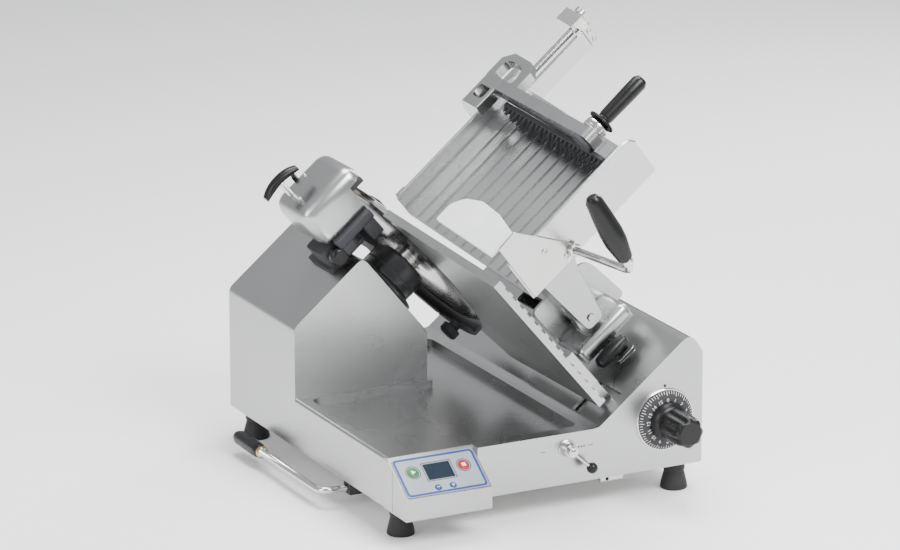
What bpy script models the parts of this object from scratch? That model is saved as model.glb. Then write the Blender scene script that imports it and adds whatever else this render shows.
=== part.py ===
"""Deli meat slicer, gravity-feed, 330 mm knife, as an assembly of separate named pieces.

Metres, +Z up.  +X is the operator's right, -Y is the operator's side.
"""
import bpy
import bmesh
import numpy as np
from math import sin, cos, tan, pi, radians, sqrt, atan2
from mathutils import Vector, Matrix

for o in list(bpy.data.objects):
    bpy.data.objects.remove(o, do_unlink=True)

# ------------------------------------------------------------------ driving sizes
BASE_W, BASE_D = 0.564, 0.613          # casting width and depth
FOOT_H = 0.049                         # underside of the casting above the bench
LIP_Z, TRAY_Z = 0.135, 0.121           # tray rim and tray floor
WALL = 0.005                           # casting wall
TOWER_Y, TOWER_X, TOWER_Z = 0.357, 0.243, 0.2575
APEX = (0.125, 0.361)
TILT = radians(40.0)                   # knife axis above the horizontal
CHUTE_LEAN = radians(12.5)             # chute floor leans to the operator
KNIFE_R = 0.165
DIAL_X, DIAL_Z, DIAL_R = 0.494, 0.132, 0.050
TRAVEL = 0.27                          # carriage stroke
OPEN = 0.030                           # largest slice thickness
GAP = 0.0004                           # running clearance between pieces

X, Y, Z = Vector((1, 0, 0)), Vector((0, 1, 0)), Vector((0, 0, 1))
U = Vector((cos(TILT), 0, sin(TILT)))          # up the slope, along the knife axis
D = Vector((sin(TILT), 0, -cos(TILT)))         # down the knife face
K = Vector((0.248, 0.420, 0.339))              # knife centre, on the cutting plane
SLOPE_U = -0.080                               # tower slope, measured from K along U
B = Y * cos(CHUTE_LEAN) - D * sin(CHUTE_LEAN)  # across the chute, away from the operator
M = U.cross(B)                                 # up from the chute floor
Q0 = K + U * 0.016 + D * (-0.050) + Y * (-0.455)   # near lower corner of the chute floor


def frame(o, ex, ey, ez):
    return Matrix(((ex.x, ey.x, ez.x, o.x), (ex.y, ey.y, ez.y, o.y),
                   (ex.z, ey.z, ez.z, o.z), (0, 0, 0, 1)))


WORLD = Matrix.Identity(4)
KN = frame(K, D, Y, U)                 # (d, y, u): knife frame, u along the axis
KS = frame(K, D, U, Y)                 # (d, u, y): knife frame seen from the side
CH = frame(Q0, U, B, M)                # (u, b, m): chute frame
FRONT = frame(Vector((0, 0, 0)), X, Z, -Y)     # (x, z, -y)
SIDE = frame(Vector((0, 0, 0)), Y, Z, X)       # (y, z, x)
PAN_A = atan2(0.047, 0.069)
PN = frame(Vector((0.0, -0.052, 0.086)), X, Vector((0, cos(PAN_A), sin(PAN_A))),
           Vector((0, -sin(PAN_A), cos(PAN_A))))   # (x, up the panel, out of the panel)


def at(m, p, axis_from=None):
    """Frame m moved to local point p."""
    return m @ Matrix.Translation(Vector(p))


# ------------------------------------------------------------------ solid helpers
def finish(bm, name, m):
    bmesh.ops.transform(bm, matrix=m, verts=bm.verts)
    bmesh.ops.recalc_face_normals(bm, faces=bm.faces)
    if bm.calc_volume(signed=True) < 0:
        bmesh.ops.reverse_faces(bm, faces=bm.faces)
    me = bpy.data.meshes.new(name)
    bm.to_mesh(me)
    bm.free()
    ob = bpy.data.objects.new(name, me)
    bpy.context.collection.objects.link(ob)
    return ob


def prism(name, pts, c0, c1, m=WORLD):
    """Polygon pts in the (a, b) plane of m, from c0 to c1 along its third axis."""
    bm = bmesh.new()
    lo = [bm.verts.new((a, b, c0)) for a, b in pts]
    hi = [bm.verts.new((a, b, c1)) for a, b in pts]
    bm.faces.new(lo[::-1])
    bm.faces.new(hi)
    n = len(pts)
    for i in range(n):
        j = (i + 1) % n
        bm.faces.new((lo[i], lo[j], hi[j], hi[i]))
    return finish(bm, name, m)


def box(name, a0, a1, b0, b1, c0, c1, m=WORLD):
    return prism(name, [(a0, b0), (a1, b0), (a1, b1), (a0, b1)], c0, c1, m)


def ring(r, n, a=0.0, b=0.0, t0=0.0, t1=2 * pi, closed=True):
    k = n if closed else n - 1
    return [(a + r * cos(t0 + (t1 - t0) * i / k), b + r * sin(t0 + (t1 - t0) * i / k)) for i in range(n)]


def cyl(name, r, c0, c1, m=WORLD, a=0.0, b=0.0, n=32):
    return prism(name, ring(r, n, a, b), c0, c1, m)


def lathe(name, prof, m=WORLD, n=48, t0=0.0, t1=2 * pi):
    """Profile (r, c) turned about the third axis of m. Points with r = 0 lie on the axis."""
    full = abs(t1 - t0 - 2 * pi) < 1e-9
    cols = n if full else n + 1
    bm = bmesh.new()
    rows = []
    for r, c in prof:
        if r < 1e-9:
            v = bm.verts.new((0, 0, c))
            rows.append([v] * cols)
        else:
            rows.append([bm.verts.new((r * cos(t0 + (t1 - t0) * i / n), r * sin(t0 + (t1 - t0) * i / n), c))
                         for i in range(cols)])
    k = len(prof)
    for i in range(k):
        p, q = rows[i], rows[(i + 1) % k]
        for s in range(n):
            e = (s + 1) % cols if full else s + 1
            vs = []
            for v in (p[s], p[e], q[e], q[s]):
                if v not in vs:
                    vs.append(v)
            if len(vs) > 2:
                bm.faces.new(vs)
    if not full:
        bm.faces.new([rows[i][0] for i in range(k)])
        bm.faces.new([rows[i][-1] for i in range(k)][::-1])
    return finish(bm, name, m)


def tube(name, pts, r, m=WORLD, n=16):
    """Round bar through the points pts (already rounded where it bends)."""
    bm = bmesh.new()
    P = [Vector(p) for p in pts]
    T = [(P[min(i + 1, len(P) - 1)] - P[max(i - 1, 0)]).normalized() for i in range(len(P))]
    side = T[0].orthogonal().normalized()
    rings = []
    for p, t in zip(P, T):
        side = (side - t * side.dot(t)).normalized()
        up = t.cross(side)
        rings.append([bm.verts.new(p + side * (r * cos(2 * pi * i / n)) + up * (r * sin(2 * pi * i / n)))
                      for i in range(n)])
    for p, q in zip(rings, rings[1:]):
        for i in range(n):
            j = (i + 1) % n
            bm.faces.new((p[i], p[j], q[j], q[i]))
    bm.faces.new(rings[0][::-1])
    bm.faces.new(rings[-1])
    return finish(bm, name, m)


def bend(pts, rad, k=6):
    """Round the inner corners of a polyline with arcs of about rad."""
    P = [Vector(p) for p in pts]
    out = [P[0]]
    for a, c, b in zip(P, P[1:], P[2:]):
        ra, rb = (a - c), (b - c)
        h = min(rad, ra.length * 0.45, rb.length * 0.45)
        s, e = c + ra.normalized() * h, c + rb.normalized() * h
        for i in range(k + 1):
            t = i / k
            out.append(s * (1 - t) ** 2 + c * 2 * t * (1 - t) + e * t * t)
    out.append(P[-1])
    return out


def soft(pts, k=5):
    """2-D polygon of (a, b, radius) with its corners rounded."""
    out = []
    n = len(pts)
    for i in range(n):
        a, b, r = pts[i]
        if r <= 0:
            out.append((a, b))
            continue
        p, q = Vector(pts[i - 1][:2]), Vector(pts[(i + 1) % n][:2])
        c = Vector((a, b))
        da, db = (p - c).normalized(), (q - c).normalized()
        half = da.angle(db) / 2
        h = min(r / tan(half), (p - c).length * 0.49, (q - c).length * 0.49)
        s, e = c + da * h, c + db * h
        for j in range(k + 1):
            t = j / k
            v = s * (1 - t) ** 2 + c * 2 * t * (1 - t) + e * t * t
            out.append((v.x, v.y))
    return out


def join(ob, *others, op='UNION'):
    for t in others:
        md = ob.modifiers.new('b', 'BOOLEAN')
        md.operation, md.solver, md.object = op, 'EXACT', t
        bpy.context.view_layer.update()
        dg = bpy.context.evaluated_depsgraph_get()
        me = bpy.data.meshes.new_from_object(ob.evaluated_get(dg))
        ob.modifiers.clear()
        old = ob.data
        ob.data = me
        me.name = ob.name
        bpy.data.meshes.remove(old)
        bpy.data.objects.remove(t, do_unlink=True)
        bm = bmesh.new()
        bm.from_mesh(ob.data)
        bmesh.ops.remove_doubles(bm, verts=bm.verts, dist=2e-6)
        bmesh.ops.dissolve_degenerate(bm, edges=bm.edges, dist=2e-6)
        bm.to_mesh(ob.data)
        bm.free()
    return ob


def cut(ob, *others):
    return join(ob, *others, op='DIFFERENCE')


# ------------------------------------------------------------------ casing
casting = prism('base_casting', soft([(0, FOOT_H, .004), (BASE_W, FOOT_H, .004), (BASE_W, .238, .016), (.541, .2725, .026),
                                      (.374, .137, .012), (.362, LIP_Z, .003), (0, LIP_Z, .006)]), -BASE_D, 0, FRONT)
tower = prism('t', soft([(0, .060, 0), (TOWER_X, .060, 0), (TOWER_X, .218, .012), (*APEX, .014), (0, TOWER_Z, .020)]),
              -(BASE_D - .0), -TOWER_Y, FRONT)
join(casting, tower)
pbox = prism('p', soft([(-.052, FOOT_H, .003), (.030, FOOT_H, 0), (.030, .1335, 0), (.018, .1345, .0), (-.052, .0870, .0)]), 0.0005, .152, SIDE)
join(casting, pbox)
cut(casting, prism('c', soft([(.022, .026, .02), (.350, .026, .02), (.350, .560, .02), (.2530, .560, .01), (.2530, .347, .012), (.022, .347, .02)]),
                   TRAY_Z, .150))
cut(casting, prism('c', [(WALL, .0), (BASE_W - WALL, .0), (BASE_W - WALL, .236), (.540, .2660), (.377, .1330), (.360, .1165), (WALL, .1165)],
                   -(BASE_D - WALL), -WALL, FRONT))
cut(casting, prism('c', [(WALL, .05), (TOWER_X - WALL, .05), (TOWER_X - WALL, .2160), (.125, .3535), (WALL, .2550)],
                   -(BASE_D - WALL), -(TOWER_Y + WALL), FRONT))
cut(casting, prism('c', [(-.047, 0), (.020, 0), (.020, .1160), (.012, .1230), (-.047, .0830)], WALL, .147, SIDE))
# openings: panel window, knife shaft, carriage slot, gauge plate slot, dial shaft, selector, cord
cut(casting, box('c', -.02, .1524, -.03, .0868, 0, .06, PN))
cut(casting, box('c', .016, .136, .006, .072, -.012, .004, PN))
cut(casting, cyl('c', .0275, -.100, -.060, KN, n=40))
cut(casting, box('c', .225, .262, -.322, .042, .0830, .1090, KN))
cut(casting, box('c', .212, .262, -.398, -.322, -.0300, .0340, KN))
cut(casting, cyl('c', .0085, -.02, .02, FRONT, DIAL_X, DIAL_Z, 24))
cut(casting, cyl('c', .0060, -.02, .02, FRONT, .314, .109, 24))
cut(casting, cyl('c', .0090, -.03, .03, at(frame(Vector((0, 0, 0)), X, Z, -Y), (.46, .085, -BASE_D)), n=24))

box('bottom_cover', .0060, BASE_W - .0060, .0060, BASE_D - .0060, .0500, .0520)
panel = prism('control_panel', soft([(.004, .003, .004), (.148, .003, .004), (.148, .0800, .004), (.004, .0800, .004)]), .0004, .0016, PN)
BTN = {'start_button': (.0315, .050, .0095), 'stop_button': (.1210, .050, .0095),
       'minus_button': (.0620, .0150, .0055), 'plus_button': (.0880, .0150, .0055)}
for nm, (a, b, r) in BTN.items():
    cut(panel, cyl('c', r + .0005, -.001, .003, PN, a, b, 28))
cut(panel, box('c', .0525, .0995, .0310, .0630, -.001, .003, PN))
for nm, (a, b, r) in BTN.items():
    lathe(nm, [(0, -.0034), (r, -.0034), (r, .0024), (r - .0008, .0032), (0, .0032)], at(PN, (a, b, 0)), 28)
box('display_window', .0530, .0990, .0315, .0625, -.0012, .0012, PN)

for nm, fx, fy in (('front_left', .032, .034), ('front_right', BASE_W - .032, .034),
                   ('rear_left', .032, BASE_D - .034), ('rear_right', BASE_W - .032, BASE_D - .034)):
    lathe(nm + '_foot', [(0, 0), (.0215, 0), (.0228, .0015), (.0215, .010), (.0165, .0300), (.0180, .0330), (.0180, .0485), (0, .0485)],
          frame(Vector((fx, fy, 0)), X, Y, Z), 32)

gland = lathe('cord_gland', [(.0045, 0), (.0130, 0), (.0130, .008), (.0100, .010), (.0085, .022), (.0045, .022)],
              frame(Vector((.46, BASE_D + GAP, .085)), X, -Z, Y), 24)

# ------------------------------------------------------------------ knife and its drive
hub = lathe('hub_housing', [(.0200, SLOPE_U - .012), (.0268, SLOPE_U - .012), (.0268, SLOPE_U + GAP), (.0620, SLOPE_U + GAP), (.0620, SLOPE_U + .007),
                            (.0485, SLOPE_U + .012), (.0485, -.030), (.0440, -.0240), (.0262, -.0240), (.0262, -.0300), (.0150, -.0300), (.0150, -.0420), (.0200, -.0420)], KN, 48)
# the spigot below the flange stays inside the casting hole
lathe('knife_shaft', [(.0085, -.1180), (.0145, -.1180), (.0145, -.0210), (.0240, -.0210), (.0240, -.0124), (.0085, -.0124)], KN, 32)
lathe('knife_pulley', [(.0150, -.1130), (.0200, -.1130), (.0200, -.1080), (.0430, -.1080), (.0430, -.1140), (.0500, -.1140),
                       (.0500, -.0960), (.0430, -.0960), (.0430, -.1020), (.0150, -.1020)], KN, 48)
lathe('knife', [(.0090, -.0040), (.1250, -.0040), (.1420, -.0062), (.1500, -.0062), (.1646, -.0003), (.1650, -.0010),
                (.1480, -.0110), (.0800, -.0090), (.0560, -.0120), (.0090, -.0120)], KN, 72)
lathe('knife_cover', [(0, -.1500), (.0110, -.1500), (.0110, -.1240), (.0060, -.1230), (.0060, -.0036), (.1180, -.0036), (.1200, -.0016), (.1195, -.0006), (.0300, -.0004), (0, -.0004)], KN, 48)
MO = at(KN, (.045, .082, 0))
lathe('knife_motor', [(.0080, -.1240), (.0440, -.1240), (.0500, -.1290), (.0500, -.2080), (.0430, -.2160), (0, -.2160), (0, -.2100), (.0080, -.2100)], MO, 40)
lathe('motor_pulley', [(0, -.2080), (.0070, -.2080), (.0070, -.1150), (.0250, -.1150), (.0250, -.0950), (.0070, -.0950), (.0070, -.0920), (0, -.0920)], MO, 32)
plate = prism('motor_mount', soft([(-.060, -.052, .01), (.098, -.052, .01), (.098, .170, .01), (-.060, .170, .01)]), -.1232, -.1196, KN)
cut(plate, cyl('c', .0200, -.13, -.11, KN, n=32), cyl('c', .0120, -.13, -.11, MO, n=24))


def belt_path(c, r, s, q, n=20):
    """Open belt outline round circles (0,0,r) and (c, s)."""
    L = sqrt(c[0] ** 2 + c[1] ** 2)
    base = atan2(c[1], c[0])
    w = pi / 2 - (0 if abs(r - s) < 1e-9 else atan2(r - s, sqrt(L * L - (r - s) ** 2)))
    w = pi / 2 - atan2(r - s, sqrt(L * L - (r - s) ** 2))
    pts = []
    for i in range(n + 1):
        t = base + w + (2 * pi - 2 * w) * i / n
        pts.append(((r + q) * cos(t), (r + q) * sin(t)))
    for i in range(n + 1):
        t = base - w + 2 * w * i / n
        pts.append((c[0] + (s + q) * cos(t), c[1] + (s + q) * sin(t)))
    return pts


def belt(name, c, r, s, t, c0, c1, m):
    o = prism(name, belt_path(c, r, s, GAP + t), c0, c1, m)
    return cut(o, prism('c', belt_path(c, r, s, GAP), c0 - .01, c1 + .01, m))


belt('drive_belt', (.045, .082), .0500, .0250, .003, -.1120, -.0980, KN)

# ring guard: a channel round the rim, open at the cutting quadrant
lathe('ring_guard', [(.1560, -.0260), (.1740, -.0260), (.1770, -.0230), (.1770, .0020), (.1715, .0020), (.1715, -.0215), (.1560, -.0215)], KN, 48, radians(-18), radians(148))
gk = lathe('guard_knob', [(0, -.0500), (.0130, -.0500), (.0165, -.0470), (.0165, -.0350), (.0100, -.0330), (.0100, -.0230), (0, -.0230)],
      at(KN, (.1600, .004, 0)), 24)
join(bpy.data.objects['ring_guard'], box('a', -.0150, .0150, .0500, .1660, -.0300, -.0230, KN), box('a', -.0150, .0150, .0500, .0760, SLOPE_U + .0004, -.0240, KN), gk)
cut(bpy.data.objects['ring_guard'], cyl('c', .0640, -.12, -.02, KN, n=48))

# ------------------------------------------------------------------ sharpener
SH = at(KN, (-.1860, .0280, -.050))     # housing centre, (d, y, u)
body = prism('sharpener_housing', soft([(-.0360, -.0750, .022), (.0490, -.0750, .018), (.0490, .0420, .018), (-.0360, .0420, .022)], 6),
             -.0620, .0620, SH)
cut(body, box('c', -.0120, .0600, -.0620, .0290, -.0200, .0660, SH), box('c', -.0080, .0600, -.1200, .1200, .0320, .0700, SH))
stone_a = lathe('grinding_stone', [(.0036, .0215), (.0170, .0215), (.0190, .0300), (.0036, .0300)], at(SH, (.0225, -.004, 0)), 28)
# clamp bracket on the tower roof, the housing turns on its upright pin
ROOF_D = -.0959
br = prism('sharpener_bracket', soft([(-.1300, -.0300, .006), (-.0520, -.0300, .006), (-.0520, .0560, .006), (-.1300, .0560, .006)]),
           -(ROOF_D - .0005), -(ROOF_D - .0085), frame(K, U, Y, -D))
join(br, prism('b', soft([(-.1240, -.0300, .008), (-.0600, -.0300, .008), (-.0600, .0300, .008), (-.1240, .0300, .008)]),
               -(ROOF_D - .0080), .1362, frame(K, U, Y, -D)))
PIN = frame(K + U * -.0840, U, Y, -D)    # upright pin of the sharpener, third axis up
TH = frame(K + U * -.0840 + Y * .030, U, Y, -D)
th = prism('turn_handle', soft([(-.0330, -.0085, .006), (.0330, -.0085, .006), (.0330, .0085, .006), (-.0330, .0085, .006)]), .2484, .2650, TH)
join(th, lathe('p', [(0, .2226), (.0060, .2226), (.0060, .2500), (0, .2500)], TH, 20))
lathe('sharpener_lock_knob', [(0, 0), (.0070, 0), (.0070, .006), (.0170, .008), (.0170, .018), (.0120, .022), (0, .022)],
      frame(K + U * -.1050 + D * -.1185 + Y * -.0304, D, U, -Y), 24)

# ------------------------------------------------------------------ gauge plate, dial and cam
out = [(-.095, -.430), (.200, -.435), (.206, -.120)]
out += [(.1712 * cos(radians(a)), -.1712 * sin(radians(a))) for a in range(26, 149, 6)]
gp = prism('gauge_plate', out, -.0150, -.0003, KN)
for i in range(14):                      # drainage grooves along the travel on the food face
    d0 = -.078 + .0200 * i
    y1 = -.125 if d0 > .17 else (-sqrt(max(.190 ** 2 - d0 ** 2, 0)))
    cut(gp, box('c', d0, d0 + .0095, -.436 - .01, min(y1, -.12), -.0034, .004, KN))
gs = box('gauge_support', .120, .196, -.388, -.334, .0002, .0200, KN)
join(gs, box('g', .190, .300, -.382, -.340, .0040, .0200, KN))
DIAL = frame(Vector((DIAL_X, 0, DIAL_Z)), X, Z, -Y)
dl = DIAL @ Vector((0, 0, 0))
rel = dl - K
FD, FU = rel.dot(D), rel.dot(U)          # dial axis in the knife frame
CAM0, CAM1 = .0130, .0130 + OPEN         # cam radius at rest and fully open
TURN = radians(300)
# follower pin on the support, touching the cam on its lower side
PINR = .0040
join(gs, box('g', .280, FD + PINR, -.382, -.340, .0100, FU - CAM0 - .0022, KN))
lathe('index_dial', [(.0070, .0010), (DIAL_R, .0010), (DIAL_R, .0040), (.0400, .0100), (.0300, .0110), (.0070, .0110)], DIAL, 60)
prof = []
for i in range(96):
    t = 2 * pi * i / 96
    rr = .0290 if (i // 4) % 2 == 0 else .0262
    prof.append((rr * cos(t), rr * sin(t)))
kn = prism('index_knob', prof, .0290, .0860, DIAL)
join(kn, lathe('k', [(0, .0114), (.0330, .0114), (.0330, .0200), (.0240, .0300), (0, .0300)], DIAL, 40))
cut(kn, cyl('c', .0064, .0, .060, DIAL, n=20))
camp = []
base_a = pi + TILT                       # direction of the follower seen from the dial axis (-U)
for i in range(73):
    t = TURN * 1.10 * i / 72
    camp.append(((CAM0 + OPEN * (t - TURN * .05) / TURN) * 1.0, t))
CAM = [((max(r, CAM0 - .0012)) * cos(base_a + TURN * .05 - t), (max(r, CAM0 - .0012)) * sin(base_a + TURN * .05 - t)) for r, t in camp]
cam = prism('index_cam', CAM, -.0520, -.0440, DIAL)
join(cam, lathe('s', [(0, -.0620), (.0060, -.0620), (.0060, .0590), (0, .0590)], DIAL, 20))
cam.name = 'index_shaft'

# ------------------------------------------------------------------ carriage
for nm, rx in (('left_carriage_rod', .478), ('right_carriage_rod', .530)):
    cyl(nm, .0075, -.585, -.0830, FRONT, rx, .120, 20)
for nm, y0 in (('front_rod_support', .0840), ('rear_rod_support', .5700)):
    s = box(nm, .462, .546, y0, y0 + .012, .0560, .1340)
    cut(s, cyl('c', .0079, -.700, .0, FRONT, .478, .120, 20), cyl('c', .0079, -.700, .0, FRONT, .530, .120, 20))
CY0, CY1 = .110, .180
cb = box('carriage_block', .458, .550, CY0, CY1, .1000, .1500)
neck = box('n', .2084, .3350, CY0 - .42, CY1 - .42, .0880, .1040, KN)
join(cb, neck)
cut(cb, cyl('c', .0095, -.300, .0, FRONT, .478, .120, 24), cyl('c', .0095, -.300, .0, FRONT, .530, .120, 24))
# foot with the pivot fork
PIV = (.1500, .0950)                     # chute pivot, (d, u)
ft = prism('carriage_foot', soft([(.1820, CY0 - .42, .008), (.2080, CY0 - .42, .003), (.2080, CY1 - .42 + .001, 0), (.1820, CY1 - .42 + .001, 0)]),
           .0400, .1510, KN)
join(ft, prism('w', soft([(.1060, .0400, .010), (.1060, .1660, .030), (.2080, .1780, .010), (.2080, .0400, .004)]),
               CY1 - .42, CY1 - .42 + .006, KS),
     prism('e', soft([(.1300, .0780, .012), (.1300, .1120, .012), (.1900, .1200, 0), (.1900, .0700, 0)]), -.2855, -.2645, KS))
join(ft, lathe('p', [(0, CY0 - .42 - .003), (.0060, CY0 - .42 - .003), (.0060, CY1 - .42 + .002), (0, CY1 - .42 + .002)],
      at(frame(K, U, -D, Y), (PIV[1], -PIV[0], 0)), 20))
# release handle on its screw, in front of the foot
RH = at(frame(K, D, Y, U), (.2140, -.3240, 0))
lathe('release_handle', [(0, .0480), (.0110, .0480), (.0125, .0500), (.0125, .1130), (.0110, .1150), (0, .1150)], RH, 24)

# ------------------------------------------------------------------ chute
CL, CW = .285, .340                       # chute floor length and width
tray = prism('food_chute', [(0, 0), (CL, 0), (CL, CW), (0, CW)], -.0040, 0, CH)
near = prism('w', soft([(.0000, -.0040, 0), (CL, -.0040, .006), (CL, .0840, .022), (.0000, .0840, .006)]),
             -.0050, .0006, frame(Q0, U, M, B))
far = prism('w', soft([(0, -.0040, 0), (CL, -.0040, .006), (CL, .0420, .010), (0, .0420, .006)]), CW - .0006, CW + .0045, frame(Q0, U, M, B))
join(tray, near, far)
for i in range(13):                       # ribs that let the food slide
    b0 = .018 + i * .0250
    join(tray, prism('r', [(b0, -.0010), (b0 + .0060, -.0010), (b0 + .0045, .0030), (b0 + .0015, .0030)], .004, CL - .003, frame(Q0, B, M, U)))
pa = prism('chute_arm', soft([(-.0520, .0600, .006), (-.0520, .1900, .010), (.0600, .1350, .020), (.1660, .1120, .012), (.1660, .0780, .012), (.0600, .0700, .02)]),
           CY0 - .42 + .0010, CY1 - .42 - .0010, KS)
cut(pa, box('c', .1120, .2000, -.2870, -.2630, 0, .2000, KN))
# top of the arm is trimmed to the underside of the chute floor
cut(pa, box('c', -.3, .5, -.3, .6, -.0046, .30, CH))
cut(pa, lathe('c', [(0, -.400), (.0064, -.400), (.0064, -.200), (0, -.200)], at(frame(K, U, -D, Y), (PIV[1], -PIV[0], 0)), 20))
# operator handle: bar out of the near wall and up to the grip
H0 = CH @ Vector((.098, -.0104, .0120))
H1 = H0 + Y * -.150 + X * .024
H2 = H1 + X * -.078 + Z * .137
bar = bend([H0, H1, H1 + (H2 - H1) * .46], .020)
tube('handle_bar', bar, .0062)
ax = (H2 - H1).normalized()
e1 = ax.orthogonal().normalized()
GR = frame(H1 + (H2 - H1) * .16, e1, ax.cross(e1), ax)
lathe('chute_grip', [(.0068, 0), (.0105, 0), (.0125, .003), (.0185, .036), (.0190, .056), (.0165, .090), (.0140, .116), (.0090, .125), (0, .126), (0, .076), (.0068, .076)], GR, 28)
wg = prism('product_guard', soft([(-.0100, .0060, .003), (-.0100, .1600, .006), (.0240, .1600, .020), (.0450, .1430, .020), (.0570, .1090, .03), (.0540, .0600, .03), (.0400, .0060, .006)], 6), .1100, .1150, CH)
gb = prism('guard_plate', soft([(.0030, -.0030, .002), (.0030, .1255, .004), (.0400, .1285, .004), (.0630, .0900, .008), (.1100, .0080, .006), (.1000, -.0030, .004)]),
           .0054, .0084, frame(Q0, U, M, -B))
# slide rail beyond the far wall
RB = CW + .0050
rail = box('slide_rail', .010, .4180, RB, RB + .0080, -.0420, -.0040, CH)
eb = box('rail_end_block', .4184, .4360, RB, RB + .052, -.0420, -.0020, CH)
join(eb, box('h', .4100, .4360, RB + .012, RB + .054, -.0060, .0120, CH),
     lathe('k', [(0, .4350), (.0060, .4350), (.0060, .4390), (.0110, .4390), (.0110, .4470), (0, .4470)], frame(Q0 + B * (RB + .030) + M * .0020, B, M, U), 20))
SL = frame(Q0 + B * (RB + .0220) + M * -.0040, B, M, U)
lathe('slide_rod', [(0, .0304), (.0060, .0304), (.0060, .4096), (0, .4096)], SL, 20)
cut(eb, cyl('c', .0064, .300, .4180, SL, n=20))
join(rail, box('f', .0100, .0300, RB + .0040, RB + .0400, -.0420, .0120, CH), box('f', .0100, .4180, RB + .0040, RB + .0400, -.0420, -.0340, CH))
s0 = .1960
slb = prism('weight_slider', soft([(-.0122, -.0125, .004), (.0150, -.0125, .004), (.0150, .0150, .004), (.0040, .0330, .004), (-.0122, .0330, .004)]), .2560, .3000, SL)
cut(slb, cyl('c', .0064, s0 - .1, s0 + .2, SL, n=20))
# weight arm: a leg round the rod, a bow over the wall and a bar back over the chute
wa = prism('weight_arm', soft([(.0115, -.0115, .0110), (.0190, .0360, .016), (-.0020, .0740, .020), (-.0500, .0800, .004), (-.0500, .0560, .004), (-.0260, .0510, .003),
                               (-.0130, .0380, .010), (-.0115, -.0115, .0110)]), .1900, .2540, SL)
join(wa, prism('b', soft([(-.0450, .0550, .004), (-.0450, .0790, .004), (-.3310, .1200, .016), (-.3310, .0780, .018)]), .2340, .2540, SL),
     prism('c', [(-.0850, .0590), (-.0850, .0780), (-.0040, .0740), (-.0040, .0560)], .2500, .3050, SL))
BW = frame(Q0 + B * (RB + .0220) + M * -.0040, U, B, M)
cut(wa, prism('c', soft([(.2560, -.0700, .008), (.2900, -.0640, .012), (.2900, -.0180, .014), (.2560, -.0180, .008)]), .03, .12, BW),
    prism('c', soft([(.2070, -.0420, .010), (.2310, -.0420, .004), (.2310, -.0120, .004), (.2070, -.0120, .012)]), .04, .12, BW),
    prism('c', [(.2860, -.0020), (.3060, -.0240), (.3200, .0200), (.2860, .0200)], .03, .12, BW),
    prism('c', [(.2880, -.0860), (.3060, -.0660), (.3200, -.1000), (.2880, -.1100)], .03, .12, BW))
cut(wa, cyl('c', .0064, s0 - .1, s0 + .2, SL, n=20))
WG = at(SL, (-.3100, .0990, 0))
lathe('weight_collar', [(0, .2544), (.0200, .2544), (.0200, .2680), (.0150, .2740), (0, .2740)], WG, 32)
lathe('weight_grip', [(0, .2744), (.0235, .2744), (.0235, .2784), (.0110, .2820), (.0125, .2880), (.0135, .3400), (.0135, .3640), (.0090, .3720), (0, .3730)], WG, 28)
pp = prism('pusher_plate', soft([(-.3540, .0110, .008), (-.0600, .0110, .008), (-.0600, .0530, .008), (-.3540, .0860, .008)]), s0 + .0310, s0 + .0376, SL)
join(pp, cyl('d', .0190, s0 + .0310, s0 + .0376, WG, n=32))
for i in range(12):
    for j in range(2):
        join(pp, lathe('t', [(0, s0 + .0180), (.0042, s0 + .0315), (0, s0 + .0315)], at(SL, (-.3440 + i * .0250, .0230 + j * (.0480 - i * .0026), 0)), 8))

# ------------------------------------------------------------------ front controls and lift lever
SE = frame(Vector((.314, 0, .109)), X, Z, -Y)
lathe('selector_boss', [(.0058, .0004), (.0130, .0004), (.0130, .0040), (.0095, .0140), (.0058, .0140)], SE, 28)
tilt = frame(Vector((.314, 0, .109)), Vector((cos(radians(-42)), 0, sin(radians(-42)))), Vector((-sin(radians(-42)), 0, cos(radians(-42)))), -Y)
lv = lathe('selector_lever', [(0, -.0200), (.0054, -.0200), (.0054, .0144), (.0080, .0148), (.0080, .0240), (0, .0240)], SE, 24)
join(lv, tube('l', [SE.to_translation() + Y * -.0190, SE.to_translation() + Y * -.0215 + tilt.to_3x3() @ Vector((.0400, 0, 0))], .0028, n=12))
P = SE.to_translation() + Y * -.0218 + tilt.to_3x3() @ Vector((.0470, 0, 0))
lathe('selector_ball', [(0, -.0095), (.0045, -.0082), (.0078, -.0050), (.0095, 0), (.0078, .0050), (.0045, .0082), (0, .0095)], frame(P, X, Y, Z), 20)
cut(bpy.data.objects['selector_ball'], tube('c', [SE.to_translation() + Y * -.0180, SE.to_translation() + Y * -.0217 + tilt.to_3x3() @ Vector((.0420, 0, 0))], .0034, n=12))

LZ, LY = .0300, .1950
lever = bend([(-.0320, .4150, LZ), (-.0320, LY, LZ), (.2600, LY, LZ), (.2600, LY - .095, LZ), (.3200, LY - .095, LZ)], .022)
tube('lift_lever', lever, .0060, n=14)
join(bpy.data.objects['lift_lever'], lathe('r', [(0, -.0020), (.0090, -.0020), (.0090, .0080), (0, .0080)], frame(Vector((-.0320, .4150, LZ)), X, -Z, Y), 20))
lathe('lever_grip', [(0, 0), (.0110, 0), (.0130, .010), (.0125, .080), (.0085, .092), (0, .094)], frame(Vector((-.0320, .4238, LZ)), X, -Z, Y), 20)
lb = box('lever_bracket', .0150, .2300, LY - .012, LY + .012, .0200, .0496)
cut(lb, box('c', .0400, .2050, .1, .3, 0, .0460), cyl('c', .0064, -.1, .4, frame(Vector((0, LY, LZ)), Y, Z, X), n=20))

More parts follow.
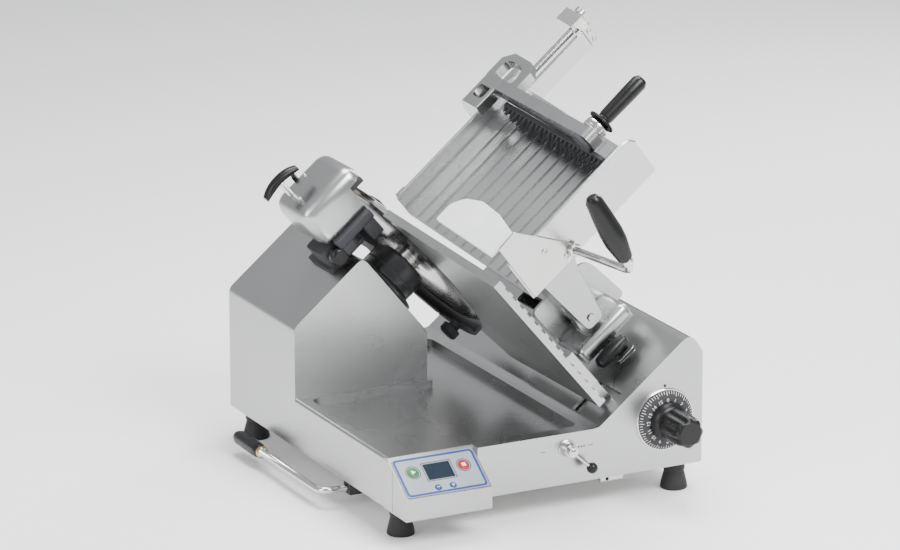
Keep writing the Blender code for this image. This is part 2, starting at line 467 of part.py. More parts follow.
# ------------------------------------------------------------------ origin under the middle of the whole
ALL = [v.co for o in bpy.data.objects for v in o.data.vertices]
MIDDLE = Vector(((min(c.x for c in ALL) + max(c.x for c in ALL)) / 2, (min(c.y for c in ALL) + max(c.y for c in ALL)) / 2, 0))
ALL = None
for o in bpy.data.objects:
    o.data.transform(Matrix.Translation(-MIDDLE))
    for p in o.data.polygons:
        p.use_smooth = False
print('MIDDLE', tuple(round(c, 6) for c in MIDDLE))
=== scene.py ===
"""Looks of a gravity-feed deli meat slicer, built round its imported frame."""
from math import cos, pi, radians, sin, tau

import bmesh
import bpy
from bpy.props import FloatProperty, FloatVectorProperty, IntProperty, PointerProperty
from bpy.types import Operator, Panel, PropertyGroup
from mathutils import Matrix, Vector


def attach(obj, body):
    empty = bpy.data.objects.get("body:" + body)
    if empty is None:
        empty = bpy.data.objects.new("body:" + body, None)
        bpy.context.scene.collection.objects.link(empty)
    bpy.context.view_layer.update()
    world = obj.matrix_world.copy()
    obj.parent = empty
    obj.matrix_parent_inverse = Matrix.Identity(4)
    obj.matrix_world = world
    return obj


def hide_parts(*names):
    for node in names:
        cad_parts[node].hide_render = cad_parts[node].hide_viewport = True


bl_info = {
    "name": "Deli Meat Slicer",
    "version": (1, 0, 0),
    "blender": (4, 5, 0),
    "location": "View3D > Sidebar > Slicer",
    "description": "Finishes, trim and studio for a gravity-feed deli meat slicer",
    "category": "Object",
}

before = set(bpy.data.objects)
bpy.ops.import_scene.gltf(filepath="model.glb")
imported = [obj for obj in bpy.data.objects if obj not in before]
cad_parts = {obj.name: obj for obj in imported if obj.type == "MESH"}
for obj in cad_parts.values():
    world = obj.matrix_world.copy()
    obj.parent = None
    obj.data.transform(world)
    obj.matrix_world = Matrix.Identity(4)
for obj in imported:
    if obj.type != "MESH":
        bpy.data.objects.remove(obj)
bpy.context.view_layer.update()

# Layout of the machine, in metres, the same as the frame's.
X, Y, Z = Vector((1, 0, 0)), Vector((0, 1, 0)), Vector((0, 0, 1))
TILT, LEAN = radians(40), radians(12.5)
SLOPE = Vector((cos(TILT), 0, sin(TILT)))
DOWN = Vector((sin(TILT), 0, -cos(TILT)))
ACROSS = Y * cos(LEAN) - DOWN * sin(LEAN)
ABOVE = SLOPE.cross(ACROSS)
CORNER = Vector((-0.2595, -0.209333, 0))
KNIFE = CORNER + Vector((0.248, 0.420, 0.339))
TROUGH = KNIFE + SLOPE * 0.016 + DOWN * -0.050 + Y * -0.455
PANEL_RISE = Vector((0, 0.069, 0.047)).normalized()


def axes(origin, a, b, c):
    return Matrix(((a.x, b.x, c.x, origin.x), (a.y, b.y, c.y, origin.y), (a.z, b.z, c.z, origin.z), (0, 0, 0, 1)))


BODY = axes(CORNER, X, Y, Z)
FRONT = axes(CORNER, X, Z, -Y)
BACK = axes(CORNER + Y * 0.613, -X, Z, Y)
BLADE = axes(KNIFE, DOWN, Y, SLOPE)
CHUTE = axes(TROUGH, SLOPE, ACROSS, ABOVE)
NEAR_WALL = axes(TROUGH, SLOPE, ABOVE, -ACROSS)
KEYPAD = axes(CORNER + Vector((0, -0.052, 0.086)), X, PANEL_RISE, X.cross(PANEL_RISE))
KEYS = {"start_button": (0.0315, 0.050), "stop_button": (0.1210, 0.050),
        "minus_button": (0.0620, 0.0150), "plus_button": (0.0880, 0.0150)}
KEY_RADIUS = 0.0115
BEAD = 0.0030  # radius of the rolled edge on both walls of the chute
DIAL = FRONT @ Matrix.Translation((0.494, 0.132, 0))
SELECTOR = FRONT @ Matrix.Translation((0.314, 0.109, 0))
HEAD = BLADE @ Matrix.Translation((-0.186, 0.028, -0.050))
SLIDE = axes(TROUGH + ACROSS * 0.367 + ABOVE * -0.004, ACROSS, ABOVE, SLOPE)


def moved(m, a, b, c=0.0):
    return m @ Matrix.Translation((a, b, c))


def pointing(origin, way):
    """Frame at a point with its third axis along a direction."""
    way = way.normalized()
    side = way.orthogonal().normalized()
    return axes(origin, side, way.cross(side), way)


# ---------------------------------------------------------------- finishes
def node(tree, kind, **values):
    made = tree.nodes.new(kind)
    for key, value in values.items():
        if key in made.inputs:
            made.inputs[key].default_value = value
        else:
            setattr(made, key, value)
    return made


def finish(name, colour, metal, rough):
    """A new material with its shader, ready for detail."""
    old = bpy.data.materials.get(name)
    if old:
        return old, None, None
    mat = bpy.data.materials.new(name)
    mat.use_nodes = True
    tree = mat.node_tree
    shader = tree.nodes["Principled BSDF"]
    shader.inputs["Base Color"].default_value = (*colour[:3], 1)
    shader.inputs["Metallic"].default_value = metal
    shader.inputs["Roughness"].default_value = rough
    if not metal and max(colour[:3]) < 0.05:
        shader.inputs["Specular IOR Level"].default_value = 0.28
    mat.diffuse_color = (*colour[:3], 1)
    return mat, tree, shader


def grain(tree, scale, stretch=(1, 1, 1), detail=4.0):
    """Noise in each piece's own coordinates."""
    place = node(tree, "ShaderNodeTexCoord")
    mapping = node(tree, "ShaderNodeMapping", Scale=stretch)
    noise = node(tree, "ShaderNodeTexNoise", Scale=scale, Detail=detail, Roughness=0.6)
    tree.links.new(place.outputs["Object"], mapping.inputs["Vector"])
    tree.links.new(mapping.outputs["Vector"], noise.inputs["Vector"])
    return noise


def spread(tree, source, low, high, target, inner=(0.3, 0.7)):
    """Maps a grain onto a socket between two values."""
    ramp = node(tree, "ShaderNodeMapRange")
    ramp.inputs["From Min"].default_value, ramp.inputs["From Max"].default_value = inner
    ramp.inputs["To Min"].default_value, ramp.inputs["To Max"].default_value = low, high
    tree.links.new(source.outputs[0], ramp.inputs["Value"])
    tree.links.new(ramp.outputs["Result"], target)


def tint(tree, source, dark, light, target):
    """Maps a grain onto a colour between two tones."""
    mix = node(tree, "ShaderNodeMix", data_type="RGBA")
    mix.inputs[6].default_value, mix.inputs[7].default_value = (*dark, 1), (*light, 1)
    tree.links.new(source.outputs[0], mix.inputs["Factor"])
    tree.links.new(mix.outputs[2], target)


def relief(tree, source, shader, strength, distance):
    bump = node(tree, "ShaderNodeBump", Strength=strength, Distance=distance)
    tree.links.new(source.outputs[0], bump.inputs["Height"])
    tree.links.new(bump.outputs["Normal"], shader.inputs["Normal"])


def shade(colour, k):
    return tuple(min(1.0, c * k) for c in colour[:3])


def cast_metal(name, colour, rough=0.34, fine=900.0):
    """Blasted and anodised casting: even satin with faint clouding and handling marks."""
    mat, tree, shader = finish(name, colour, 1.0, rough)
    if tree:
        cloud = grain(tree, 7.0, detail=1.5)
        tint(tree, cloud, shade(colour, 0.96), shade(colour, 1.04), shader.inputs["Base Color"])
        spread(tree, cloud, rough - 0.02, rough + 0.04, shader.inputs["Roughness"])
        relief(tree, grain(tree, fine, detail=2.0), shader, 0.03, 0.0001)
    return mat


def brushed_metal(name, colour, rough, stretch, scale=14.0):
    """Sheet or bar with a drawn grain along one direction."""
    mat, tree, shader = finish(name, colour, 1.0, rough)
    if tree:
        lines = grain(tree, scale, stretch, 3.0)
        tint(tree, lines, shade(colour, 0.95), shade(colour, 1.04), shader.inputs["Base Color"])
        spread(tree, lines, rough - 0.03, rough + 0.05, shader.inputs["Roughness"])
        relief(tree, lines, shader, 0.03, 0.0001)
    return mat


def ground_steel(name, colour):
    """Knife steel with rings left by grinding, round the knife axis."""
    mat, tree, shader = finish(name, colour, 1.0, 0.2)
    if tree:
        place = node(tree, "ShaderNodeTexCoord")
        offset = node(tree, "ShaderNodeVectorMath", operation="SUBTRACT")
        offset.inputs[1].default_value = KNIFE
        length = node(tree, "ShaderNodeVectorMath", operation="LENGTH")
        rings = node(tree, "ShaderNodeTexNoise", noise_dimensions="1D", Scale=900.0, Detail=3.0)
        tree.links.new(place.outputs["Object"], offset.inputs[0])
        tree.links.new(offset.outputs["Vector"], length.inputs[0])
        tree.links.new(length.outputs["Value"], rings.inputs["W"])
        tint(tree, rings, shade(colour, 0.88), shade(colour, 1.05), shader.inputs["Base Color"])
        spread(tree, rings, 0.13, 0.30, shader.inputs["Roughness"])
        relief(tree, rings, shader, 0.05, 0.0001)
    return mat


def moulded(name, colour, rough=0.38, fine=1400.0, strength=0.12):
    """Injection-moulded plastic with a fine spark texture."""
    mat, tree, shader = finish(name, colour, 0.0, rough)
    if tree:
        tone = grain(tree, 30.0)
        tint(tree, tone, shade(colour, 0.85), shade(colour, 1.15), shader.inputs["Base Color"])
        spread(tree, tone, rough - 0.05, rough + 0.08, shader.inputs["Roughness"])
        relief(tree, grain(tree, fine, detail=1.0), shader, strength, 0.0002)
    return mat


def enamel(name, colour, rough=0.3):
    """Sprayed enamel with a light orange peel."""
    mat, tree, shader = finish(name, colour, 0.0, rough)
    if tree:
        tone = grain(tree, 14.0)
        tint(tree, tone, shade(colour, 0.92), shade(colour, 1.06), shader.inputs["Base Color"])
        shader.inputs["Coat Weight"].default_value = 0.3
        relief(tree, grain(tree, 240.0, detail=1.0), shader, 0.12, 0.0003)
    return mat


def rubber(name, colour):
    """Soft rubber, dusty and dull."""
    mat, tree, shader = finish(name, colour, 0.0, 0.62)
    if tree:
        dust = grain(tree, 60.0, detail=6.0)
        tint(tree, dust, colour[:3], shade(colour, 2.2), shader.inputs["Base Color"])
        relief(tree, dust, shader, 0.2, 0.0003)
    return mat


def abrasive(name, colour):
    """Bonded grit of a grinding stone."""
    mat, tree, shader = finish(name, colour, 0.0, 0.85)
    if tree:
        grit = node(tree, "ShaderNodeTexVoronoi", Scale=2400.0)
        place = node(tree, "ShaderNodeTexCoord")
        tree.links.new(place.outputs["Object"], grit.inputs["Vector"])
        tint(tree, grit, shade(colour, 0.6), shade(colour, 1.3), shader.inputs["Base Color"])
        relief(tree, grit, shader, 0.5, 0.0004)
    return mat


# ---------------------------------------------------------------- mesh helpers
def piece(context, name, bm, body, material, rounding=0.0, smooth=35):
    """Closes a bmesh into a named piece that rides on a body."""
    bmesh.ops.recalc_face_normals(bm, faces=bm.faces)
    mesh = bpy.data.meshes.new(name)
    bm.to_mesh(mesh)
    bm.free()
    ob = bpy.data.objects.new(name, mesh)
    context.scene.collection.objects.link(ob)
    mesh.materials.append(material)
    for face in mesh.polygons:
        face.use_smooth = True
    mesh.set_sharp_from_angle(angle=radians(smooth))
    if rounding:
        bevel = ob.modifiers.new("rounded edges", "BEVEL")
        bevel.width, bevel.segments, bevel.limit_method, bevel.angle_limit = rounding, 3, "ANGLE", radians(40)
        bevel.use_clamp_overlap = True
        ob.modifiers.new("even shading", "WEIGHTED_NORMAL").keep_sharp = True
    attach(ob, body)
    return ob


def add_prism(bm, outline, low, high, matrix=Matrix()):
    """Outline in the first two axes, raised along the third."""
    bottom = [bm.verts.new(matrix @ Vector((a, b, low))) for a, b in outline]
    top = [bm.verts.new(matrix @ Vector((a, b, high))) for a, b in outline]
    bm.faces.new(bottom[::-1])
    bm.faces.new(top)
    for i in range(len(outline)):
        j = (i + 1) % len(outline)
        bm.faces.new((bottom[i], bottom[j], top[j], top[i]))


def add_box(bm, a0, a1, b0, b1, c0, c1, matrix=Matrix()):
    add_prism(bm, [(a0, b0), (a1, b0), (a1, b1), (a0, b1)], c0, c1, matrix)


def add_turned(bm, profile, matrix, count):
    """Closed profile of (radius, height) turned about the third axis."""
    rows = []
    for radius, height in profile:
        if radius < 1e-7:
            rows.append([bm.verts.new(matrix @ Vector((0, 0, height)))] * count)
        else:
            rows.append([bm.verts.new(matrix @ Vector((radius * cos(tau * i / count), radius * sin(tau * i / count),
                                                       height))) for i in range(count)])
    for k in range(len(profile)):
        near, far = rows[k], rows[(k + 1) % len(profile)]
        for i in range(count):
            j = (i + 1) % count
            ring = []
            for vert in (near[i], near[j], far[j], far[i]):
                if vert not in ring:
                    ring.append(vert)
            if len(ring) > 2:
                bm.faces.new(ring)


def rounded(a0, a1, b0, b1, radius, steps=6):
    """Rectangle with round corners."""
    points = []
    for ca, cb, turn in ((a1 - radius, b1 - radius, 0), (a0 + radius, b1 - radius, 1),
                         (a0 + radius, b0 + radius, 2), (a1 - radius, b0 + radius, 3)):
        for i in range(steps + 1):
            t = (turn + i / steps) * pi / 2
            points.append((ca + radius * cos(t), cb + radius * sin(t)))
    return points


def add_frame(bm, outer, inner, low, high, matrix=Matrix()):
    """Flat frame between two outlines with the same count of points."""
    rings = [[bm.verts.new(matrix @ Vector((a, b, c))) for a, b in line]
             for line, c in ((outer, low), (outer, high), (inner, high), (inner, low))]
    count = len(outer)
    for k in range(4):
        for i in range(count):
            j = (i + 1) % count
            bm.faces.new((rings[k][i], rings[k][j], rings[(k + 1) % 4][j], rings[(k + 1) % 4][i]))


def add_loft(bm, rings):
    """Skin over rings of vertices with the same count, closed at both ends."""
    count = len(rings[0])
    for near, far in zip(rings, rings[1:]):
        for i in range(count):
            j = (i + 1) % count
            bm.faces.new((near[i], near[j], far[j], far[i]))
    bm.faces.new(rings[0][::-1])
    bm.faces.new(rings[-1])


def add_bar(bm, points, radius, count=12, matrix=Matrix()):
    """Round bar along points."""
    path = [matrix @ Vector(p) for p in points]
    along = [(path[min(i + 1, len(path) - 1)] - path[max(i - 1, 0)]).normalized() for i in range(len(path))]
    side = along[0].orthogonal().normalized()
    rings = []
    for spot, way in zip(path, along):
        side = (side - way * side.dot(way)).normalized()
        up = way.cross(side)
        rings.append([bm.verts.new(spot + side * radius * cos(tau * i / count) + up * radius * sin(tau * i / count))
                      for i in range(count)])
    add_loft(bm, rings)


def add_screw(bm, matrix, radius=0.0042, height=0.0026):
    """Domed screw head with a round socket."""
    add_turned(bm, [(0, -0.0006), (radius, -0.0006), (radius, height * 0.45), (radius * 0.86, height * 0.8),
                    (radius * 0.62, height), (radius * 0.5, height), (radius * 0.46, height * 0.35),
                    (0, height * 0.35)], matrix, 24)


def turned_piece(context, name, profile, matrix, count, body, material):
    """One turned solid as a piece."""
    bm = bmesh.new()
    add_turned(bm, profile, matrix, count)
    return piece(context, name, bm, body, material)


def add_block(bm, low, high, radius, matrix=Matrix(), segments=6):
    """Block with every edge rounded."""
    before = set(bm.verts)
    add_box(bm, low[0], high[0], low[1], high[1], low[2], high[2], matrix)
    fresh = [v for v in bm.verts if v not in before]
    edges = list({e for v in fresh for e in v.link_edges})
    bmesh.ops.bevel(bm, geom=edges, offset=radius, segments=segments, profile=0.5, affect="EDGES")


def carve(context, ob, bm):
    """Takes the shapes in bm out of a piece."""
    bmesh.ops.recalc_face_normals(bm, faces=bm.faces)
    mesh = bpy.data.meshes.new("cavity")
    bm.to_mesh(mesh)
    bm.free()
    tool = bpy.data.objects.new("cavity", mesh)
    context.scene.collection.objects.link(tool)
    step = ob.modifiers.new("cavity", "BOOLEAN")
    step.operation, step.solver, step.object = "DIFFERENCE", "EXACT", tool
    context.view_layer.update()
    shaped = bpy.data.meshes.new_from_object(ob.evaluated_get(context.evaluated_depsgraph_get()))
    ob.modifiers.clear()
    old, ob.data = ob.data, shaped
    bpy.data.meshes.remove(old)
    bpy.data.objects.remove(tool, do_unlink=True)
    shaped.set_sharp_from_angle(angle=radians(40))


def add_text(context, bm, text, size, matrix):
    """Numerals as thin raised mesh."""
    curve = bpy.data.curves.new("numeral", "FONT")
    curve.body, curve.size, curve.extrude = text, size, 0.00012
    curve.align_x, curve.align_y, curve.resolution_u = "CENTER", "CENTER", 3
    ob = bpy.data.objects.new("numeral", curve)
    context.scene.collection.objects.link(ob)
    context.view_layer.update()
    mesh = bpy.data.meshes.new_from_object(ob.evaluated_get(context.evaluated_depsgraph_get()))
    mesh.transform(matrix)
    bm.from_mesh(mesh)
    bpy.data.objects.remove(ob, do_unlink=True)
    bpy.data.curves.remove(curve)
    bpy.data.meshes.remove(mesh)


# ---------------------------------------------------------------- properties
class SlicerFinish(PropertyGroup):
    """Colours and surface settings of the machine."""
    casting: FloatVectorProperty(name="Casting", description="Colour of the anodised castings", subtype="COLOR",
                                 size=3, min=0, max=1, default=(0.42, 0.424, 0.424))
    sheet: FloatVectorProperty(name="Sheet", description="Colour of the chute and rail sheet", subtype="COLOR",
                               size=3, min=0, max=1, default=(0.54, 0.544, 0.544))
    steel: FloatVectorProperty(name="Steel", description="Colour of bright steel", subtype="COLOR",
                               size=3, min=0, max=1, default=(0.56, 0.55, 0.54))
    plastic: FloatVectorProperty(name="Black plastic", description="Colour of grips, knobs and guards",
                                 subtype="COLOR", size=3, min=0, max=1, default=(0.006, 0.006, 0.0065))
    white: FloatVectorProperty(name="White guard", description="Colour of the food guard", subtype="COLOR",
                               size=3, min=0, max=1, default=(0.70, 0.71, 0.72))
    blue: FloatVectorProperty(name="Keypad blue", description="Colour of the keypad border and small keys",
                              subtype="COLOR", size=3, min=0, max=1, default=(0.006, 0.035, 0.20))
    rounding: FloatProperty(name="Edge rounding", description="Radius on the casting's edges", unit="LENGTH",
                            min=0.0005, max=0.006, default=0.0036)


class SlicerTrim(PropertyGroup):
    """Sizes of the small trim."""
    dial_marks: IntProperty(name="Dial marks", description="Ticks round the index dial", min=20, max=120, default=64)
    screw_radius: FloatProperty(name="Screw head", description="Radius of the cover screws", unit="LENGTH",
                                min=0.002, max=0.006, default=0.0040)
    seal_lip: FloatProperty(name="Seal lip", description="Width of the carriage slot seal", unit="LENGTH",
                            min=0.003, max=0.012, default=0.006)


class SlicerStudio(PropertyGroup):
    """Studio settings."""
    floor: FloatVectorProperty(name="Floor", description="Colour of floor and backdrop", subtype="COLOR", size=3,
                               min=0, max=1, default=(0.93, 0.93, 0.93))
    key: FloatProperty(name="Key light", description="Power of the large key light", subtype="POWER", unit="POWER",
                       min=10, max=4000, default=170)
    fill: FloatProperty(name="Fill light", description="Power of the side fill light", subtype="POWER",
                        unit="POWER", min=5, max=2000, default=45)


class SlicerSettings(PropertyGroup):
    finish: PointerProperty(type=SlicerFinish)
    trim: PointerProperty(type=SlicerTrim)
    studio: PointerProperty(type=SlicerStudio)


def palette(context):
    """Every finish of the machine, by name."""
    f = context.scene.slicer.finish
    return {
        "casting": cast_metal("anodised_casting", f.casting, 0.27),
        "sheet": cast_metal("anodised_sheet", f.sheet, 0.25, 700.0),
        "plate": brushed_metal("gauge_plate_finish", shade(f.casting, 1.02), 0.30, (60, 1, 60)),
        "steel": brushed_metal("brushed_steel", f.steel, 0.24, (60, 1, 60)),
        "bright": brushed_metal("polished_rod", shade(f.steel, 1.15), 0.13, (3, 3, 3), scale=60.0),
        "knife": ground_steel("knife_steel", shade(f.steel, 1.12)),
        "black": moulded("black_plastic", f.plastic, 0.34),
        "grip": moulded("grip_plastic", f.plastic, 0.28, 700.0, 0.06),
        "hub": enamel("dark_hub_paint", (0.022, 0.022, 0.024), 0.34),
        "motor": enamel("motor_paint", (0.07, 0.075, 0.08), 0.4),
        "white": moulded("white_guard_plastic", f.white, 0.4, 600.0, 0.05),
        "rubber": rubber("foot_rubber", (0.012, 0.012, 0.012)),
        "film": moulded("keypad_film", (0.27, 0.30, 0.34), 0.42, 2000.0, 0.03),
        "blue": moulded("keypad_blue", f.blue, 0.35, 2000.0, 0.05),
        "display": moulded("display_tint", (0.012, 0.020, 0.032), 0.12, 200.0, 0.01),
        "green": moulded("start_green", (0.006, 0.15, 0.03), 0.3, 1200.0, 0.05),
        "red": moulded("stop_red", (0.32, 0.006, 0.012), 0.3, 1200.0, 0.05),
        "ink": moulded("white_ink", (0.80, 0.80, 0.78), 0.5, 2000.0, 0.02),
        "black_ink": moulded("black_ink", (0.02, 0.02, 0.02), 0.5, 2000.0, 0.02),
        "brass": brushed_metal("brass_ring", (0.62, 0.43, 0.18), 0.25, (3, 3, 3), scale=60.0),
        "stone": abrasive("grinding_grit", (0.34, 0.29, 0.25)),
        # painted shade: near-black finish that stands in for the shade inside the rear vent openings
        "shadow": moulded("painted_vent_shade", (0.006, 0.006, 0.006), 0.8, 400.0, 0.1),
    }


CAST_EDGE = 0.0026  # the casting's edge, from which the rounding setting scales every other edge
# node: (finish, edge rounding)
NODE_FINISH = {
    "base_casting": ("casting", CAST_EDGE), "bottom_cover": ("steel", 0), "control_panel": ("film", 0.0003),
    "display_window": ("display", 0.0003), "front_left_foot": ("rubber", 0.0008),
    "front_right_foot": ("rubber", 0.0008), "rear_left_foot": ("rubber", 0.0008),
    "rear_right_foot": ("rubber", 0.0008), "cord_gland": ("black", 0.0006), "hub_housing": ("hub", 0.0012),
    "knife_cover": ("plate", 0.0004), "knife_motor": ("motor", 0.001), "motor_mount": ("steel", 0.0006),
    "drive_belt": ("rubber", 0), "ring_guard": ("black", 0.0008), "sharpener_bracket": ("black", 0.0022),
    "left_carriage_rod": ("bright", 0.0006), "right_carriage_rod": ("bright", 0.0006),
    "front_rod_support": ("steel", 0.001), "rear_rod_support": ("steel", 0.001), "selector_boss": ("bright", 0.0008),
    "lever_bracket": ("black", 0.001), "knife": ("knife", 0), "knife_shaft": ("steel", 0.0004),
    "knife_pulley": ("sheet", 0.0004), "motor_pulley": ("steel", 0.0004), "gauge_plate": ("plate", 0.0003),
    "gauge_support": ("casting", 0.001), "index_dial": ("black", 0.0006), "index_knob": ("black", 0.0012),
    "index_shaft": ("steel", 0.0004), "carriage_block": ("sheet", 0.001), "carriage_foot": ("casting", 0.003),
    "release_handle": ("grip", 0.0010), "food_chute": ("sheet", 0.0009), "chute_arm": ("casting", 0.003),
    "handle_bar": ("bright", 0), "chute_grip": ("grip", 0.0014), "product_guard": ("white", 0.0012),
    "guard_plate": ("steel", 0.0006), "slide_rail": ("sheet", 0.0010), "rail_end_block": ("steel", 0.0018),
    "slide_rod": ("bright", 0.0008), "weight_slider": ("casting", 0.0015), "weight_arm": ("casting", 0.0034),
    "weight_collar": ("bright", 0.0016), "weight_grip": ("grip", 0.0012), "pusher_plate": ("black", 0.0008),
    "sharpener_housing": ("casting", 0.0080), "grinding_stone": ("stone", 0.0006), "turn_handle": ("grip", 0.0022),
    "sharpener_lock_knob": ("grip", 0.0012), "selector_lever": ("bright", 0.0005), "selector_ball": ("grip", 0),
    "start_button": ("green", 0.0005), "stop_button": ("red", 0.0005), "minus_button": ("blue", 0.0005),
    "plus_button": ("blue", 0.0005), "lift_lever": ("bright", 0), "lever_grip": ("grip", 0.0010),
}


# ---------------------------------------------------------------- operators
class SLICER_OT_node_finishes(Operator):
    """Give every frame node its finish and rounded edges"""
    bl_idname = "slicer.node_finishes"
    bl_label = "Node Finishes"

    def execute(self, context):
        looks = palette(context)
        scale = context.scene.slicer.finish.rounding / CAST_EDGE
        for name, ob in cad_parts.items():
            look, width = NODE_FINISH[name]
            ob.data.materials.clear()
            ob.data.materials.append(looks[look])
            weld = ob.modifiers.new("joined corners", "WELD")
            weld.merge_threshold = 0.00001
            if name != "gauge_plate":
                flat = ob.modifiers.new("flat faces", "DECIMATE")
                flat.decimate_type, flat.angle_limit = "DISSOLVE", radians(0.6)
            if width:
                bevel = ob.modifiers.new("rounded edges", "BEVEL")
                bevel.width, bevel.segments = width * scale, 3
                bevel.limit_method, bevel.angle_limit = "ANGLE", radians(32)
                bevel.use_clamp_overlap = True
                ob.modifiers.new("even shading", "WEIGHTED_NORMAL")
            for face in ob.data.polygons:
                face.use_smooth = True
        return {"FINISHED"}


class SLICER_OT_keypad_artwork(Operator):
    """Draw the keypad's border, key rings, window frame and key symbols"""
    bl_idname = "slicer.keypad_artwork"
    bl_label = "Keypad Artwork"

    def execute(self, context):
        looks = palette(context)
        ink = 0.0015, 0.00174  # printed layer, from just under the film's face
        bm = bmesh.new()
        add_frame(bm, rounded(0.0052, 0.1468, 0.0042, 0.0788, 0.006), rounded(0.0090, 0.1430, 0.0080, 0.0750, 0.004),
                  *ink, KEYPAD)
        piece(context, "keypad_border", bm, "base", looks["blue"])
        bm = bmesh.new()
        for key in ("start_button", "stop_button"):
            a, b = KEYS[key]
            outer, inner = ([(a + r * cos(tau * i / 40), b + r * sin(tau * i / 40)) for i in range(40)]
                            for r in (KEY_RADIUS + 0.0012, KEY_RADIUS))
            add_frame(bm, outer, inner, *ink, KEYPAD)
        add_frame(bm, rounded(0.0495, 0.1025, 0.0285, 0.0655, 0.002), rounded(0.0507, 0.1013, 0.0297, 0.0643, 0.0015),
                  *ink, KEYPAD)
        piece(context, "keypad_outlines", bm, "base", looks["black_ink"])
        # key symbols ride with their keys
        arm, half, side = 0.0026, 0.0005, 0.0034
        symbols = {"start_button": [(-0.0030, -0.0042), (0.0046, 0), (-0.0030, 0.0042)],
                   "stop_button": [(-side, -side), (side, -side), (side, side), (-side, side)],
                   "minus_button": [(-arm, -half), (arm, -half), (arm, half), (-arm, half)],
                   "plus_button": [(-arm, -half), (-half, -half), (-half, -arm), (half, -arm), (half, -half),
                                   (arm, -half), (arm, half), (half, half), (half, arm), (-half, arm),
                                   (-half, half), (-arm, half)]}
        for name, outline in symbols.items():
            bm = bmesh.new()
            add_prism(bm, outline, 0.0031, 0.00335, moved(KEYPAD, *KEYS[name]))
            piece(context, name + "_symbol", bm, name, looks["ink"])
        return {"FINISHED"}


class SLICER_OT_dial_scale(Operator):
    """Mark the slice thickness dial, and set its bezel, pointer and lobed knob"""
    bl_idname = "slicer.dial_scale"
    bl_label = "Dial Scale"

    def execute(self, context):
        looks = palette(context)
        count = context.scene.slicer.trim.dial_marks
        bm = bmesh.new()
        for i in range(count):
            long = i % 4 == 0
            turn = DIAL @ Matrix.Rotation(-tau * i / count, 4, "Z")
            slant = turn @ Matrix.Translation((0, 0.0450, 0.0070)) @ Matrix.Rotation(-0.5404, 4, "X")
            add_box(bm, -0.00035, 0.00035, -0.0030 if long else -0.0004, 0.0046, 0.0, 0.00026, slant)
        for i in range(16):
            turn = DIAL @ Matrix.Rotation(-tau * i / 16, 4, "Z") @ Matrix.Translation((0, 0.0352, 0.01062))
            add_text(context, bm, str(i), 0.0088, turn)
        piece(context, "dial_numbers", bm, "index", looks["ink"])
        turned_piece(context, "dial_bezel",
                     [(0.0502, 0.0002), (0.0524, 0.0002), (0.0524, 0.0022), (0.0514, 0.0030), (0.0502, 0.0030)],
                     DIAL, 72, "base", looks["bright"])
        turned_piece(context, "dial_pointer",
                     [(0, -0.0005), (0.0024, -0.0005), (0.0024, 0.0008), (0.0014, 0.0016), (0, 0.0018)],
                     moved(DIAL, 0, 0.0570), 20, "base", looks["black"])
        # knob with eight lobes over a turned skirt: height, radius, depth of the hollows
        bm = bmesh.new()
        rows = []
        for height, radius, hollow in (
                (0.0296, 0.0220, 0.0), (0.0300, 0.0250, 0.0010), (0.0325, 0.0280, 0.0026), (0.0360, 0.0286, 0.0034),
                (0.0740, 0.0268, 0.0036), (0.0810, 0.0255, 0.0034), (0.0845, 0.0235, 0.0026), (0.0858, 0.0205, 0.0014)):
            row = []
            for j in range(96):
                w = tau * j / 96
                r = radius - hollow * (1 - abs(cos(4 * w))) * 1.3
                row.append(bm.verts.new(DIAL @ Vector((r * cos(w), r * sin(w), height))))
            rows.append(row)
        add_loft(bm, rows)
        add_turned(bm, [(0, 0.0114), (0.0325, 0.0114), (0.0330, 0.0122), (0.0330, 0.0190), (0.0300, 0.0250),
                        (0.0240, 0.0302), (0, 0.0302)], DIAL, 60)
        knob = piece(context, "lobed_knob", bm, "index", looks["grip"], smooth=50)
        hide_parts("index_knob")
        turned_piece(context, "knob_cap",
                     [(0, 0.0858), (0.0205, 0.0858), (0.0190, 0.0872), (0.0060, 0.0876), (0, 0.0876)],
                     DIAL, 36, "index", looks["grip"])
        return {"FINISHED"}


class SLICER_OT_selector_marks(Operator):
    """Mark the two selector positions, and set the selector's washer and cap"""
    bl_idname = "slicer.selector_marks"
    bl_label = "Selector Marks"

    def execute(self, context):
        looks = palette(context)
        ink = -0.0001, 0.00018
        bm = bmesh.new()
        for side in (-1, 1):
            for k in range(3 if side > 0 else 1):
                a = side * (0.0220 + 0.0050 * k)
                add_prism(bm, [(a - 0.0016, -0.0022), (a + side * 0.0018, 0), (a - 0.0016, 0.0022)], *ink, SELECTOR)
            add_box(bm, *sorted((side * 0.0385, side * 0.0480)), -0.0005, 0.0005, *ink, SELECTOR)
        piece(context, "selector_symbols", bm, "base", looks["black_ink"])
        turned_piece(context, "selector_washer",
                     [(0.0132, 0.0002), (0.0152, 0.0002), (0.0152, 0.0014), (0.0142, 0.0022), (0.0132, 0.0022)],
                     SELECTOR, 40, "base", looks["steel"])
        turned_piece(context, "selector_cap",
                     [(0, 0.0236), (0.0060, 0.0236), (0.0056, 0.0252), (0.0030, 0.0262), (0, 0.0264)],
                     SELECTOR, 28, "selector", looks["bright"])
        return {"FINISHED"}


